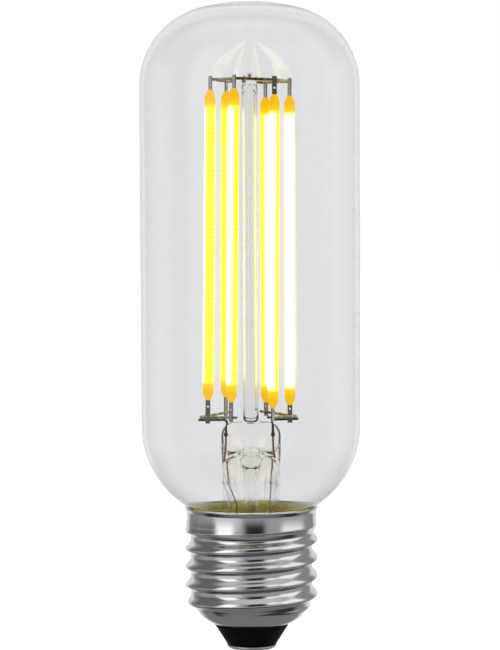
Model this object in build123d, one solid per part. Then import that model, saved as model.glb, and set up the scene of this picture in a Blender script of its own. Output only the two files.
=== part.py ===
from build123d import *
import os
from math import acos, asin, atan2, ceil, cos, degrees, radians, sin, sqrt

# Glass envelope: a clear tube with a dished end, drawn in to a neck at the cap
LAMP_HEIGHT = 128.6
GLASS_DIAMETER = 43.6
GLASS_WALL = 1.0
CROWN_RADIUS = 39.5
KNUCKLE_RADIUS = 15.8
SHOULDER_RADIUS = 18.7
NECK_BEND_RADIUS = 3.0
NECK_BEND_BELOW_RIM = 2.4

# Screw shell: thin sheet rolled to a right-hand round thread under a plain band
CAP_HEIGHT = 28.3
SHELL_SHEET = 0.3
THREAD_DIAMETER = 26.45
THREAD_DEPTH = 1.1
THREAD_PITCH = 3.629
THREAD_RIDGE_WIDTH = 2.5
THREAD_ROOT_WIDTH = 2.75
THREAD_FLATS = 8
THREAD_SWEEP = 150.0
THREAD_FADE = 1.3
THREAD_END_ABOVE_HEM = 2.7
THREAD_RUN_OUT = 2.2
CREST_BELOW_BAND = 1.3
BAND_HEIGHT = 4.9
BAND_STEP = 0.8
BAND_BELOW_CREST = 0.3
BAND_BEND = 0.5
LIP_REACH = 0.42
LIP_HEIGHT = 0.8
TAPER_ANGLE = 20.0
HEM_DIAMETER = 15.1

# Foot of the cap: black glass insulator, centre contact and the cement at the neck
INSULATOR_HEIGHT = 4.3
INSULATOR_FLANGE = 1.8
INSULATOR_CROWN = 1.0
INSULATOR_HOLE = 1.2
CONTACT_DIAMETER = 9.8
CONTACT_FLAT = 7.0
CONTACT_HEIGHT = 0.8
CONTACT_EDGE = 0.3
CEMENT_THICKNESS = 0.525
CEMENT_BELOW_RIM = 0.3
CEMENT_ABOVE_NECK_END = 0.6

# Glass stem: trumpet flare, flattened press, exhaust tube below and tube above
FLARE_DIAMETER = 11.5
FLARE_WALL = 0.6
FLARE_BEND = 6.0
PRESS_ABOVE_RIM = 17.0
PRESS_HEIGHT = 8.7
PRESS_SPREAD = 0.3
PRESS_THICKNESS = 4.6
PRESS_SHOULDER = 2.4
PRESS_FLAT_HEIGHT = 4.2
CAVITY_RISE = 2.2
STEM_TUBE_DIAMETER = 3.1
EXHAUST_DIAMETER = 2.85
EXHAUST_DROP = 2.5
EXHAUST_SEAL = 1.0
EXHAUST_TIP_ROUND = 0.85
TUBE_BORE = 1.6
VENT_DIAMETER = 1.2
VENT_ABOVE_CAVITY = 1.4
STEM_TIP_ABOVE_RING = 1.4
STEM_SEAL = 2.2
STEM_TIP_ROUND = 0.9

# Filaments: six rods on a six-cornered frame, the right three set a little lower
FILAMENT_COUNT = 6
FILAMENT_DIAMETER = 2.15
FILAMENT_TIP = 1.15
FILAMENT_TAPER = 1.2
TOP_CIRCLE_DIAMETER = 15.8
TOP_TURN = 7.0
TOP_SHIFT = 0.1
FOOT_CIRCLE_DIAMETER = 16.4
FOOT_TURN = 4.75
FOOT_SHIFT = -0.4
FILAMENT_ABOVE_PRESS = 4.5
FILAMENT_BELOW_RING = 1.85
RIGHT_GROUP_DROP = 1.2

# End strips of the filaments, welded to the frame wires
TAB_WIDTH = 0.95
TAB_THICKNESS = 0.25
TAB_HOLE = 0.45
TAB_SEAT_DEPTH = 1.2
TAB_PAST_WIRE = 0.4
TAB_TAIL = 0.9
WELD_GAP = 0.03

# Frame wires: top ring, its anchor and the two lower brackets
RING_BELOW_TOP = 15.55
RING_TILT = 0.03
RING_WIRE = 0.6
RING_BEND = 0.7
RING_OVERRUN = 0.45
RING_STUB = 1.3
ANCHOR_WIRE = 0.5
ANCHOR_DEPTH = 0.9
ANCHOR_OVERHANG = 0.7
BRACKET_WIRE = 0.55
BRACKET_BEND = 0.6
BRACKET_RISE = 0.5
BRACKET_OVERHANG = 1.1
BRACKET_PAST_TAB = 0.55

# Lead wires: steel above the seal, a sealing wire in the glass, thin tails below
LEFT_LEAD_INSET = 0.35
RIGHT_LEAD_INSET = 0.95
LEAD_WIRE = 0.5
LEAD_BEND = 0.6
LEAD_ARM_ABOVE_PRESS = 0.45
SEAL_WIRE = 0.4
SEAL_LEAN = 0.22
SEAL_BEND = 3.0
SEAL_GAP = 0.03
KNOT_DIAMETER = 0.8
KNOT_LENGTH = 0.8
KNOT_EDGE = 0.2
UPPER_KNOT_BELOW_PRESS = 2.4
LOWER_KNOT_BELOW_PRESS = 12.0
TAIL_WIRE = 0.3
TAIL_BEND = 1.0
LEFT_TAIL_POINTS = [(-2.8, 0.6), (-3.15, -1.2)]
RIGHT_TAIL_POINTS = [(3.65, 0.6), (3.85, -0.9)]
TAIL_END = 3.4

# Driver in the cap
BOARD_THICKNESS = 1.0
BOARD_CLEARANCE = 0.2
BOARD_BELOW_EXHAUST = 2.5
CAPACITOR_DIAMETER = 6.3
CAPACITOR_LENGTH = 6.2
CAPACITOR_EDGE = 0.4
CAPACITOR_PLACE = 4.3
CAPACITOR_CLEARANCE = 0.6
RECTIFIER_SIZE = (4.7, 3.9, 1.4)
CHIP_SIZE = (4.9, 3.9, 1.4)
CHIP_PLACE = 6.2
CHIP_EDGE = 0.3
FUSE_DIAMETER = 2.4
FUSE_LENGTH = 4.0
FUSE_EDGE = 0.6
FUSE_WIRE = 0.5
FUSE_PLACE = -4.2
FUSE_BEND = 0.6
NEUTRAL_WIRE = 0.6
NEUTRAL_PLACE = 7.6
NEUTRAL_DROP = 2.4
NEUTRAL_BEND = 0.9

# Clearance between pieces that are cemented, pressed or soldered together
SEAT_GAP = 0.05


# Radii and heights that follow from the sizes above
crest_radius = THREAD_DIAMETER / 2
root_radius = crest_radius - THREAD_DEPTH
bore_radius = root_radius - SHELL_SHEET
band_radius = crest_radius - BAND_BELOW_CREST
hem_radius = HEM_DIAMETER / 2
contact_radius = CONTACT_DIAMETER / 2
hem_z = CONTACT_HEIGHT + INSULATOR_HEIGHT
taper_bend = (root_radius - hem_radius) / (1 - sin(radians(TAPER_ANGLE)))
taper_place = root_radius - taper_bend
taper_z = hem_z + taper_bend * cos(radians(TAPER_ANGLE))
thread_end_z = hem_z + THREAD_END_ABOVE_HEM
thread_end = taper_place + sqrt(taper_bend**2 - (taper_z - thread_end_z) ** 2)
band_z = CAP_HEIGHT - BAND_HEIGHT
crest_z = band_z - CREST_BELOW_BAND

glass_radius = GLASS_DIAMETER / 2
neck_radius = bore_radius - CEMENT_THICKNESS
shoulder_radius_place = glass_radius - SHOULDER_RADIUS
neck_bend_z = CAP_HEIGHT - NECK_BEND_BELOW_RIM
neck_bend_place = neck_radius + NECK_BEND_RADIUS
shoulder_drop = sqrt(
    (SHOULDER_RADIUS + NECK_BEND_RADIUS) ** 2 - (neck_bend_place - shoulder_radius_place) ** 2
)
shoulder_z = neck_bend_z + shoulder_drop
knuckle_place = glass_radius - KNUCKLE_RADIUS
crown_z = LAMP_HEIGHT - CROWN_RADIUS
knuckle_z = crown_z + sqrt((CROWN_RADIUS - KNUCKLE_RADIUS) ** 2 - knuckle_place**2)


def taper_point(along, inward):
    """Point near the hem of the shell, along its round taper and inward from its outer face."""
    angle = radians(TAPER_ANGLE) + along / taper_bend
    radius = taper_place + (taper_bend - inward) * sin(angle)
    height = taper_z - (taper_bend - inward) * cos(angle)
    return (radius, height)


insulator_seat = taper_point(INSULATOR_FLANGE, SHELL_SHEET + SEAT_GAP)
insulator_top = insulator_seat[1] + INSULATOR_CROWN
board_bottom = insulator_top + CAPACITOR_LENGTH + CAPACITOR_CLEARANCE
board_top = board_bottom + BOARD_THICKNESS
exhaust_tip = board_top + BOARD_BELOW_EXHAUST
neck_end = exhaust_tip + EXHAUST_DROP

flare_radius = FLARE_DIAMETER / 2
flare_bore = flare_radius - FLARE_WALL
press_top = CAP_HEIGHT + PRESS_ABOVE_RIM
press_base = press_top - PRESS_HEIGHT
cavity_top = press_base + CAVITY_RISE
vent_z = cavity_top + VENT_ABOVE_CAVITY
ring_z = LAMP_HEIGHT - RING_BELOW_TOP
stem_tip = ring_z + STEM_TIP_ABOVE_RING
arm_z = press_top + LEAD_ARM_ABOVE_PRESS
bracket_z = arm_z + (LEAD_WIRE + BRACKET_WIRE) / 2 + WELD_GAP
upper_knot = press_top - UPPER_KNOT_BELOW_PRESS
lower_knot = press_top - LOWER_KNOT_BELOW_PRESS
left_lead = -(flare_bore - LEFT_LEAD_INSET)
right_lead = flare_bore - RIGHT_LEAD_INSET
filament_foot = press_top + FILAMENT_ABOVE_PRESS
filament_top = ring_z - FILAMENT_BELOW_RING


def turned(profile):
    """Solid of revolution about the lamp's axis from a profile of radius and height."""
    return revolve(Plane.XZ * profile, axis=Axis.Z)


def polygon(*points):
    return make_face(Polyline(*points, close=True))


def wire_along(path, diameter):
    """Round wire of one diameter along a path."""
    start = Plane(origin=path @ 0, z_dir=path % 0)
    return sweep(start * Circle(diameter / 2), path=path)


def upright(radius, bottom, top, x=0.0, y=0.0):
    """Upright cylinder between two heights."""
    bar = Cylinder(radius, top - bottom, align=(Align.CENTER, Align.CENTER, Align.MIN))
    return Pos(x, y, bottom) * bar


# Glass envelope
def glass_body(inset):
    """The envelope's outer form, moved inward by an inset, as a solid."""
    shoulder_turn = degrees(atan2(shoulder_drop, neck_bend_place - shoulder_radius_place))
    crown_turn = degrees(atan2(knuckle_z - crown_z, knuckle_place))
    neck = Line((neck_radius - inset, neck_end), (neck_radius - inset, neck_bend_z))
    neck_bend = CenterArc(
        (neck_bend_place, neck_bend_z), NECK_BEND_RADIUS + inset, 180, -shoulder_turn
    )
    shoulder = CenterArc(
        (shoulder_radius_place, shoulder_z), SHOULDER_RADIUS - inset, -shoulder_turn, shoulder_turn
    )
    tube = Line((glass_radius - inset, shoulder_z), (glass_radius - inset, knuckle_z))
    knuckle = CenterArc((knuckle_place, knuckle_z), KNUCKLE_RADIUS - inset, 0, crown_turn)
    crown = CenterArc((0, crown_z), CROWN_RADIUS - inset, crown_turn, 90 - crown_turn)
    axis = Line((0, LAMP_HEIGHT - inset), (0, neck_end))
    foot = Line((0, neck_end), (neck_radius - inset, neck_end))
    return turned(make_face([foot, neck, neck_bend, shoulder, tube, knuckle, crown, axis]))


def glass_envelope():
    return glass_body(0) - glass_body(GLASS_WALL)


# Screw cap
def shell_room(inset):
    """Room within the sheet: round taper from the hem, root of the thread, band and lip."""
    taper = CenterArc((taper_place, taper_z), taper_bend - inset, TAPER_ANGLE - 90, 90 - TAPER_ANGLE)
    lip = (band_radius + LIP_REACH - inset, CAP_HEIGHT)
    wall = FilletPolyline(
        (root_radius - inset, taper_z),
        (root_radius - inset, band_z - BAND_STEP),
        (band_radius - inset, band_z),
        (band_radius - inset, CAP_HEIGHT - LIP_HEIGHT),
        lip,
        radius=BAND_BEND,
    )
    core = [lip, (0, CAP_HEIGHT), (0, hem_z), (hem_radius, hem_z)]
    if inset > 0:
        core.append(taper_point(0, inset))
    return turned(make_face([taper, wall, Polyline(*core)]))


def thread_ridge():
    """Round ridge of the thread, run out at the band and on the taper."""
    turns_down = ceil((crest_z - thread_end_z) / THREAD_PITCH) + 1
    start_z = crest_z - turns_down * THREAD_PITCH
    rise = band_z + THREAD_PITCH / 2 - start_z
    half_width = THREAD_RIDGE_WIDTH / 2
    depth = root_radius - thread_end + SHELL_SHEET
    helix = Helix(pitch=THREAD_PITCH, height=rise, radius=root_radius, center=(0, 0, start_z))
    half_root = THREAD_ROOT_WIDTH / 2
    bend = (half_width**2 + THREAD_DEPTH**2) / (2 * THREAD_DEPTH)
    turns = [radians(THREAD_SWEEP * (flat / THREAD_FLATS - 0.5)) for flat in range(THREAD_FLATS + 1)]
    crest = [(THREAD_DEPTH - bend + bend * cos(turn), bend * sin(turn)) for turn in turns]
    section = polygon((-depth, -half_root), *crest, (-depth, half_root))
    start = Plane(origin=helix @ 0, x_dir=(1, 0, 0), z_dir=helix % 0)
    ridge = sweep(start * section, path=helix, is_frenet=True)
    outside = crest_radius + SHELL_SHEET
    room = turned(
        polygon(
            (0, thread_end_z),
            (thread_end, thread_end_z),
            (outside, thread_end_z + THREAD_RUN_OUT),
            (outside, band_z - THREAD_FADE),
            (band_radius - SHELL_SHEET / 2, band_z),
            (0, band_z),
        )
    )
    return ridge & room


def screw_shell():
    return shell_room(0) + thread_ridge() - shell_room(SHELL_SHEET)


def cap_insulator():
    hem_hole = taper_point(0, SHELL_SHEET)[0] - SEAT_GAP
    seat_depth = SHELL_SHEET + SEAT_GAP
    seat_foot = taper_point(-SEAT_GAP, seat_depth)
    seat = ThreePointArc(seat_foot, taper_point(INSULATOR_FLANGE / 2, seat_depth), insulator_seat)
    crown = Polyline(
        insulator_seat,
        (insulator_seat[0], insulator_top),
        (INSULATOR_HOLE / 2, insulator_top),
        (INSULATOR_HOLE / 2, CONTACT_HEIGHT),
        (contact_radius, CONTACT_HEIGHT),
        (hem_radius, hem_z - SEAT_GAP),
        (hem_hole, hem_z - SEAT_GAP),
        seat_foot,
    )
    return turned(make_face([seat, crown]))


def centre_contact():
    profile = make_face(
        [
            Line((0, 0), (CONTACT_FLAT / 2, 0)),
            TangentArc(
                (CONTACT_FLAT / 2, 0), (contact_radius, CONTACT_HEIGHT - CONTACT_EDGE), tangent=(1, 0)
            ),
            Line((contact_radius, CONTACT_HEIGHT - CONTACT_EDGE), (contact_radius, CONTACT_HEIGHT)),
            Line((contact_radius, CONTACT_HEIGHT), (0, CONTACT_HEIGHT)),
            Line((0, CONTACT_HEIGHT), (0, 0)),
        ]
    )
    return turned(profile)


def cap_cement():
    """Cement between the neck and the shell, up to just under the rim."""
    wide = band_radius - SHELL_SHEET - SEAT_GAP
    narrow = bore_radius - SEAT_GAP
    top = CAP_HEIGHT - CEMENT_BELOW_RIM
    bottom = neck_end + CEMENT_ABOVE_NECK_END
    room = turned(
        polygon(
            (0, bottom),
            (narrow, bottom),
            (narrow, band_z - BAND_STEP / 2),
            (wide, band_z + BAND_STEP / 2),
            (wide, top),
            (0, top),
        )
    )
    return room - glass_body(-SEAT_GAP)


# Glass stem
def flare():
    """Trumpet-ended tube whose rim meets the end of the envelope's neck."""
    rim_inside = neck_radius - GLASS_WALL
    bend_place = flare_radius + FLARE_BEND
    sweep_angle = degrees(acos((bend_place - rim_inside) / FLARE_BEND))
    bend_z = neck_end + FLARE_BEND * sin(radians(sweep_angle))
    outer = CenterArc((bend_place, bend_z), FLARE_BEND, 180, sweep_angle)
    inner = CenterArc((bend_place, bend_z), FLARE_BEND + FLARE_WALL, 180, sweep_angle)
    lip = inner @ 1
    profile = make_face(
        [
            outer,
            Line(outer @ 1, (neck_radius, neck_end)),
            Line((neck_radius, neck_end), (neck_radius, lip.Y)),
            Line((neck_radius, lip.Y), lip),
            inner,
            Line(inner @ 0, (flare_bore, press_base)),
            Line((flare_bore, press_base), (flare_radius, press_base)),
            Line((flare_radius, press_base), outer @ 0),
        ]
    )
    return turned(profile)


def press():
    """Flattened glass above the flare, hollow at its foot, with rounded shoulders."""
    half_width = flare_radius + PRESS_SPREAD / 2
    half_thickness = PRESS_THICKNESS / 2
    flat_z = press_top - PRESS_FLAT_HEIGHT
    half_middle = (flare_radius + half_thickness) / 2
    foot = Pos(0, 0, press_base) * Circle(flare_radius)
    middle = Pos(0, 0, cavity_top) * Ellipse(half_width, half_middle)
    upper = Pos(0, 0, flat_z) * Ellipse(half_width, half_thickness)
    body = loft([foot, middle, upper]) + extrude(upper, PRESS_FLAT_HEIGHT)
    front = Pos(0, press_base) * Rectangle(2 * half_width + PRESS_SPREAD, 2 * PRESS_HEIGHT)
    front = fillet(front.vertices().group_by(Axis.Y)[-1], PRESS_SHOULDER)
    body = body & extrude(Plane.XZ * front, flare_radius, both=True)
    cavity_foot = Pos(0, 0, press_base) * Circle(flare_bore)
    cavity_end = Pos(0, 0, cavity_top) * Ellipse(
        flare_bore - FLARE_WALL / 2, half_middle - 2 * FLARE_WALL
    )
    return body - loft([cavity_foot, cavity_end])


def anchor_height():
    return ring_z + (RING_WIRE + ANCHOR_WIRE) / 2 + WELD_GAP


def glass_stem():
    tube_radius = STEM_TUBE_DIAMETER / 2
    exhaust_radius = EXHAUST_DIAMETER / 2
    tube = upright(tube_radius, vent_z, stem_tip)
    tube = fillet(tube.edges().group_by(Axis.Z)[-1], STEM_TIP_ROUND)
    exhaust = upright(exhaust_radius, exhaust_tip, vent_z)
    exhaust = fillet(exhaust.edges().group_by(Axis.Z)[0], EXHAUST_TIP_ROUND)
    stem = flare() + press() + tube + exhaust
    stem -= upright(TUBE_BORE / 2, exhaust_tip + EXHAUST_SEAL, stem_tip - STEM_SEAL)
    stem -= Pos(0, 0, vent_z) * Rot(90, 0, 0) * Cylinder(VENT_DIAMETER / 2, FLARE_DIAMETER)
    knot_radius = KNOT_DIAMETER / 2 + SEAL_GAP
    knot_half = KNOT_LENGTH / 2 + SEAL_GAP
    for lead in (left_lead, right_lead):
        stem -= upright(LEAD_WIRE / 2 + SEAL_GAP, press_base, press_top, lead)
        stem -= upright(knot_radius, upper_knot - knot_half, upper_knot + knot_half, lead)
    anchor_hole = Cylinder(
        ANCHOR_WIRE / 2 + SEAL_GAP,
        STEM_TUBE_DIAMETER + ANCHOR_DEPTH,
        align=(Align.CENTER, Align.CENTER, Align.MIN),
    )
    return stem - Pos(0, ANCHOR_DEPTH, anchor_height()) * Rot(90, 0, 0) * anchor_hole


# Places of the filaments, numbered round from the right-hand one
def corner(diameter, turn, shift, number, height):
    angle = radians(turn + number * 360 / FILAMENT_COUNT)
    return Vector(diameter / 2 * cos(angle) + shift, diameter / 2 * sin(angle), height)


numbers = range(FILAMENT_COUNT)
heads = [corner(TOP_CIRCLE_DIAMETER, TOP_TURN, TOP_SHIFT, n, ring_z) for n in numbers]
feet = [corner(FOOT_CIRCLE_DIAMETER, FOOT_TURN, FOOT_SHIFT, n, bracket_z) for n in numbers]
RIGHT, RIGHT_BACK, LEFT_BACK, LEFT, LEFT_FRONT, RIGHT_FRONT = numbers
right_group = (RIGHT, RIGHT_BACK, RIGHT_FRONT)


def flat(point, height):
    return Vector(point.X, point.Y, height)


def direction(start, end):
    return flat(end - start, 0).normalized()


def passing(start, post, distance, side):
    """Level direction from start that goes by a post at a distance, on one side of it."""
    across = flat(post - start, 0)
    swing = degrees(asin(distance / across.length))
    return across.normalized().rotate(Axis.Z, side * swing)


def level_length(start, post):
    return flat(post - start, 0).length


# Top ring: the wire runs inside the strips, bent at each corner and open at the back
ring_seat = RING_WIRE / 2 + TAB_THICKNESS / 2 + WELD_GAP
left_edge = direction(heads[LEFT], heads[LEFT_FRONT])
right_edge = direction(heads[RIGHT], heads[RIGHT_BACK])
left_inward = left_edge.rotate(Axis.Z, 90)
right_inward = right_edge.rotate(Axis.Z, 90)
ring_left = heads[LEFT] - left_edge * RING_OVERRUN + left_inward * ring_seat
ring_left_front = heads[LEFT_FRONT] + left_edge * RING_OVERRUN + left_inward * ring_seat
ring_right = heads[RIGHT] - right_edge * RING_OVERRUN + right_inward * ring_seat
ring_right_back = heads[RIGHT_BACK] + right_edge * RING_OVERRUN + right_inward * ring_seat
back_edge = passing(ring_left, heads[LEFT_BACK], ring_seat, -1)
front_edge = passing(ring_left_front, heads[RIGHT_FRONT], ring_seat, 1)
back_length = level_length(ring_left, heads[LEFT_BACK]) + RING_OVERRUN
front_length = level_length(ring_left_front, heads[RIGHT_FRONT]) + RING_OVERRUN
ring_left_back = ring_left + back_edge * back_length
ring_right_front = ring_left_front + front_edge * front_length
head_edges = {
    RIGHT: right_edge,
    RIGHT_BACK: right_edge,
    LEFT_BACK: back_edge,
    LEFT: left_edge,
    LEFT_FRONT: left_edge,
    RIGHT_FRONT: front_edge,
}


def ring_height(x):
    """The ring tilts a little, its left side higher."""
    return ring_z - RING_TILT * x


def top_ring_wire():
    gap = direction(ring_left_back, ring_right_back)
    corners = [
        ring_left_back + gap * RING_STUB,
        ring_left_back,
        ring_left,
        ring_left_front,
        ring_right_front,
        ring_right,
        ring_right_back,
        ring_right_back - gap * RING_STUB,
    ]
    path = FilletPolyline(*[flat(c, ring_height(c.X)) for c in corners], radius=RING_BEND)
    return wire_along(path, RING_WIRE)


def top_anchor_wire():
    """Straight wire from the solid tip of the stem, out over the ring's front run."""
    reach = ring_left_front.Y - front_edge.Y / front_edge.X * ring_left_front.X - ANCHOR_OVERHANG
    height = anchor_height()
    path = Line((0, ANCHOR_DEPTH - SEAL_GAP, height), (0, reach, height))
    return wire_along(path, ANCHOR_WIRE)


# Lower frame: each lead's arm passes its filament, and carries a V bracket on top
arm_seat = LEAD_WIRE / 2 + TAB_THICKNESS / 2 + WELD_GAP
bracket_seat = BRACKET_WIRE / 2 + TAB_THICKNESS / 2 + WELD_GAP
vertex_beyond = TAB_WIDTH / 2 + BRACKET_WIRE + BRACKET_PAST_TAB
arm_beyond = vertex_beyond + BRACKET_WIRE / 2
left_start = Vector(left_lead, 0, arm_z)
right_start = Vector(right_lead, 0, arm_z)
left_arm = passing(left_start, feet[LEFT], arm_seat, -1)
right_arm = passing(right_start, feet[RIGHT], arm_seat, 1)
left_vertex = left_start + left_arm * (level_length(left_start, feet[LEFT]) + vertex_beyond)
right_vertex = right_start + right_arm * (level_length(right_start, feet[RIGHT]) + vertex_beyond)
foot_edges = {
    RIGHT: right_arm,
    RIGHT_BACK: passing(right_vertex, feet[RIGHT_BACK], bracket_seat, 1),
    LEFT_BACK: passing(left_vertex, feet[LEFT_BACK], bracket_seat, -1),
    LEFT: left_arm,
    LEFT_FRONT: passing(left_vertex, feet[LEFT_FRONT], bracket_seat, 1),
    RIGHT_FRONT: passing(right_vertex, feet[RIGHT_FRONT], bracket_seat, -1),
}


def bracket_wire(vertex, back, front):
    """V wire whose corner lies on the lead's arm and whose arms rise to two filaments."""
    ends = []
    for number in (back, front):
        length = level_length(vertex, feet[number]) + BRACKET_OVERHANG
        end = vertex + foot_edges[number] * length
        ends.append(flat(end, bracket_z + BRACKET_RISE))
    path = FilletPolyline(ends[0], flat(vertex, bracket_z), ends[1], radius=BRACKET_BEND)
    return wire_along(path, BRACKET_WIRE)


def weld_knot(x, height):
    """Barrel of a butt weld on an upright stretch of lead."""
    radius = KNOT_DIAMETER / 2
    half = KNOT_LENGTH / 2
    profile = polygon(
        (0, -half),
        (radius - KNOT_EDGE, -half),
        (radius, KNOT_EDGE - half),
        (radius, half - KNOT_EDGE),
        (radius - KNOT_EDGE, half),
        (0, half),
    )
    return Pos(x, 0, height) * turned(profile)


def inner_lead(start, arm, number):
    """Steel lead: a weld knot in the glass, up out of the press and level outward."""
    end = start + arm * (level_length(start, feet[number]) + arm_beyond)
    knot = flat(start, upper_knot)
    lead = wire_along(FilletPolyline(knot, start, end, radius=LEAD_BEND), LEAD_WIRE)
    return lead + weld_knot(start.X, upper_knot)


def leaned(lead):
    """Level place of a lead's lower knot, drawn in towards the axis."""
    return lead - SEAL_LEAN if lead > 0 else lead + SEAL_LEAN


def seal_wire(lead):
    top = upper_knot - KNOT_LENGTH / 2
    bottom = lower_knot + KNOT_LENGTH / 2
    path = FilletPolyline(
        (lead, 0, top),
        (lead, 0, press_base),
        (leaned(lead), 0, (press_base + bottom) / 2),
        (leaned(lead), 0, bottom),
        radius=SEAL_BEND,
    )
    return wire_along(path, SEAL_WIRE)


def outer_lead(lead, bends):
    """Thin tail from the lower knot to the driver board, bent by hand on its way."""
    place = leaned(lead)
    side = 1 if lead > 0 else -1
    knot = Vector(place, 0, lower_knot)
    points = [knot]
    points += [(x, 0, CAP_HEIGHT + rise) for x, rise in bends]
    points += [(side * TAIL_END, 0, neck_end), (side * TAIL_END, 0, board_top)]
    tail = wire_along(FilletPolyline(*points, radius=TAIL_BEND), TAIL_WIRE)
    return tail + weld_knot(place, lower_knot)


# Filaments and their end strips
def filament_drop(number):
    return RIGHT_GROUP_DROP if number in right_group else 0.0


def on_filament(number, height):
    """Point of a filament's centre line at a height."""
    share = (height - bracket_z) / (ring_z - bracket_z)
    return feet[number] + (heads[number] - feet[number]) * share


def strip_plane(number, height, edge):
    """Plane across a filament, its X along the wire that the strip is welded to."""
    along = (heads[number] - feet[number]).normalized()
    across = (edge - along * edge.dot(along)).normalized()
    return Plane(origin=on_filament(number, height), x_dir=across, z_dir=along)


def strip(number, low, high, edge):
    """Flat strip on a filament's centre line between two heights."""
    box = Box(TAB_WIDTH, TAB_THICKNESS, high - low, align=(Align.CENTER, Align.CENTER, Align.MIN))
    return strip_plane(number, low, edge) * box


def top_strip_span(number):
    low = filament_top - filament_drop(number) - TAB_SEAT_DEPTH
    return low, ring_height(heads[number].X) + RING_WIRE / 2 + TAB_PAST_WIRE


def foot_strip_span(number):
    high = filament_foot - filament_drop(number) + TAB_SEAT_DEPTH
    if number in (LEFT, RIGHT):
        return arm_z - LEAD_WIRE / 2 - TAB_PAST_WIRE, high
    return bracket_z + BRACKET_RISE - TAB_TAIL, high


def holed(number, tab, height, edge):
    """Strip with its small round hole at a height."""
    hole = Rot(90, 0, 0) * Cylinder(TAB_HOLE / 2, TAB_WIDTH)
    return tab - strip_plane(number, height, edge) * hole


def top_tab(number):
    low, high = top_strip_span(number)
    middle = (low + TAB_SEAT_DEPTH + ring_height(heads[number].X) - RING_WIRE / 2) / 2
    edge = head_edges[number]
    return holed(number, strip(number, low, high, edge), middle, edge)


def bottom_tab(number):
    low, high = foot_strip_span(number)
    middle = (high - TAB_SEAT_DEPTH + bracket_z + BRACKET_RISE + BRACKET_WIRE / 2) / 2
    edge = foot_edges[number]
    return holed(number, strip(number, low, high, edge), middle, edge)


def led_filament(number):
    """Rod of chips in silicone, tapered at its ends, with a pocket for each end strip."""
    low = filament_foot - filament_drop(number)
    high = filament_top - filament_drop(number)
    plane = strip_plane(number, low, head_edges[number])
    length = (on_filament(number, high) - on_filament(number, low)).length
    radius = FILAMENT_DIAMETER / 2
    tip = FILAMENT_TIP / 2
    profile = polygon(
        (0, 0),
        (tip, 0),
        (radius, FILAMENT_TAPER),
        (radius, length - FILAMENT_TAPER),
        (tip, length),
        (0, length),
    )
    rod = plane * turned(profile)
    rod -= strip(number, *top_strip_span(number), head_edges[number])
    rod -= strip(number, *foot_strip_span(number), foot_edges[number])
    return rod


# Driver in the cap
def driver_board():
    return upright(bore_radius - BOARD_CLEARANCE, board_bottom, board_top)


def smoothing_capacitor():
    can = upright(CAPACITOR_DIAMETER / 2, board_bottom - CAPACITOR_LENGTH, board_bottom, CAPACITOR_PLACE)
    return chamfer(can.edges().group_by(Axis.Z)[0], CAPACITOR_EDGE)


def board_chip(size, y):
    chip = Box(*size, align=(Align.CENTER, Align.CENTER, Align.MIN))
    chip = chamfer(chip.edges().group_by(Axis.Z)[-1], CHIP_EDGE)
    return Pos(0, y, board_top) * chip


def fuse_resistor():
    """Axial fuse under the board, its lower lead bent in and down to the contact."""
    body_top = board_bottom - FUSE_WIRE
    body_bottom = body_top - FUSE_LENGTH
    body = upright(FUSE_DIAMETER / 2, body_bottom, body_top, FUSE_PLACE)
    body = chamfer(body.edges().filter_by(GeomType.CIRCLE), FUSE_EDGE)
    level = (body_bottom + insulator_top) / 2
    path = FilletPolyline(
        (FUSE_PLACE, 0, board_bottom),
        (FUSE_PLACE, 0, level),
        (0, 0, level),
        (0, 0, CONTACT_HEIGHT),
        radius=FUSE_BEND,
    )
    return body + wire_along(path, FUSE_WIRE)


def neutral_wire():
    """Wire from the board to its solder place on the inside of the shell."""
    level = board_bottom - NEUTRAL_DROP
    path = FilletPolyline(
        (0, NEUTRAL_PLACE, board_bottom),
        (0, NEUTRAL_PLACE, level),
        (0, bore_radius - SEAT_GAP, level),
        radius=NEUTRAL_BEND,
    )
    return wire_along(path, NEUTRAL_WIRE)


parts = {
    "glass_envelope": glass_envelope(),
    "glass_stem": glass_stem(),
    "screw_shell": screw_shell(),
    "cap_insulator": cap_insulator(),
    "centre_contact": centre_contact(),
    "cap_cement": cap_cement(),
    "top_ring_wire": top_ring_wire(),
    "top_anchor_wire": top_anchor_wire(),
    "left_bracket_wire": bracket_wire(left_vertex, LEFT_BACK, LEFT_FRONT),
    "right_bracket_wire": bracket_wire(right_vertex, RIGHT_BACK, RIGHT_FRONT),
    "left_inner_lead": inner_lead(left_start, left_arm, LEFT),
    "right_inner_lead": inner_lead(right_start, right_arm, RIGHT),
    "left_seal_wire": seal_wire(left_lead),
    "right_seal_wire": seal_wire(right_lead),
    "left_outer_lead": outer_lead(left_lead, LEFT_TAIL_POINTS),
    "right_outer_lead": outer_lead(right_lead, RIGHT_TAIL_POINTS),
    "driver_board": driver_board(),
    "smoothing_capacitor": smoothing_capacitor(),
    "bridge_rectifier": board_chip(RECTIFIER_SIZE, CHIP_PLACE),
    "driver_chip": board_chip(CHIP_SIZE, -CHIP_PLACE),
    "fuse_resistor": fuse_resistor(),
    "neutral_wire": neutral_wire(),
}
for number in numbers:
    parts[f"led_filament_{number + 1}"] = led_filament(number)
    parts[f"filament_top_tab_{number + 1}"] = top_tab(number)
    parts[f"filament_bottom_tab_{number + 1}"] = bottom_tab(number)

os.makedirs("parts", exist_ok=True)
for name, shape in parts.items():
    export_step(shape, f"parts/{name}.step")
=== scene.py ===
from math import acos, atan2, cos, degrees, hypot, pi, radians, sin, sqrt

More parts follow.
